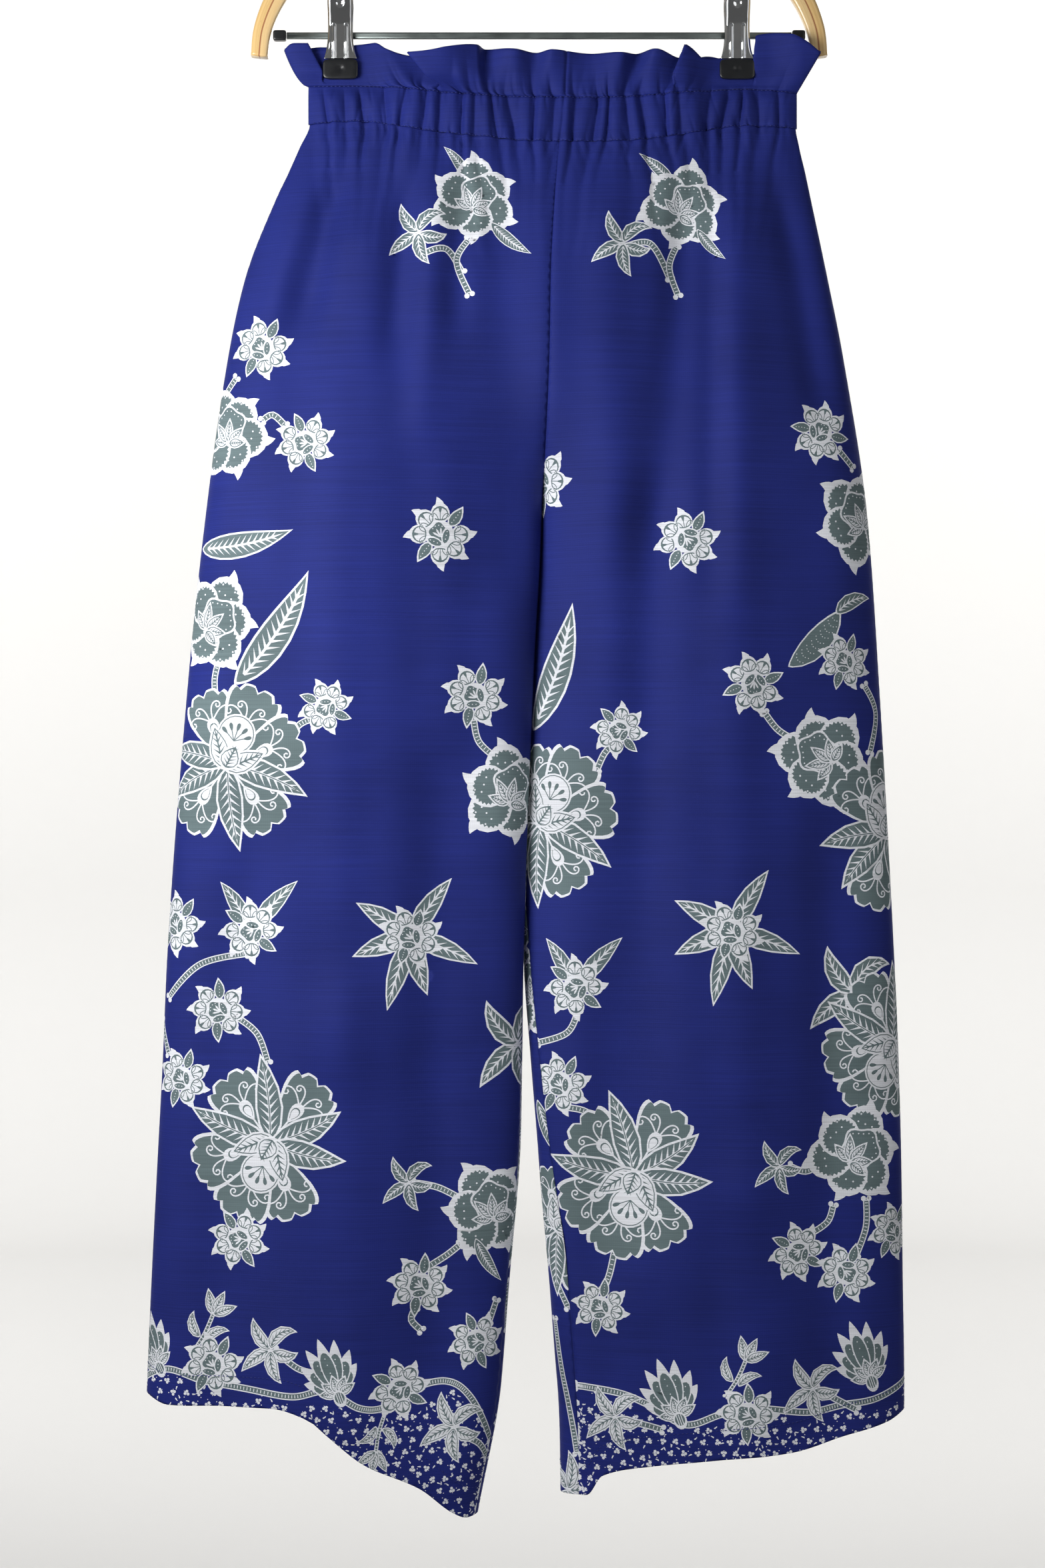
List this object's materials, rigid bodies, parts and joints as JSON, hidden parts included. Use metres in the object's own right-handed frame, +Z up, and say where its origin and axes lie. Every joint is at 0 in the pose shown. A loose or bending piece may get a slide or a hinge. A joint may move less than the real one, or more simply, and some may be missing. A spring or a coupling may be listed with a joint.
{
  "type": "lounge pants on a clip hanger",
  "caption": "Wide-leg pull-on trousers with a gathered, frilled elastic waist, hung by two sprung clips from the bar of a wooden hanger.",
  "frame": {"origin": "inside top of the hanger's hook, where it sits on a rail", "axes": "+Z up, +X to the viewer's right as the front is looked at, -Y towards the viewer"},
  "size_m": [0.5367, 0.092, 1.2205],
  "materials": {
    "cloth": "soft plain-woven rayon, navy",
    "wood": "clear lacquer over pale wood",
    "hook_steel": "polished plating",
    "bar_steel": "dull zinc plating",
    "clip_chrome": "polished plating",
    "rubber": "satin black rubber"
  },
  "bodies": {
    "root": {"front_left_leg": "cloth", "front_right_leg": "cloth", "front_waist_tunnel": "cloth", "front_waist_frill": "cloth", "back_left_leg": "cloth", "back_right_leg": "cloth", "back_waist_tunnel": "cloth", "back_waist_frill": "cloth", "hanger_arms": "wood", "hanger_hook": "hook_steel", "clip_bar": "bar_steel", "bar_cap_left": "rubber", "bar_cap_right": "rubber", "left_clip_front_plate": "clip_chrome", "left_clip_front_boot": "rubber", "left_clip_back_plate": "clip_chrome", "left_clip_back_boot": "rubber", "left_clip_spring": "clip_chrome", "right_clip_front_plate": "clip_chrome", "right_clip_front_boot": "rubber", "right_clip_back_plate": "clip_chrome", "right_clip_back_boot": "rubber", "right_clip_spring": "clip_chrome"}
  },
  "joints": []
}
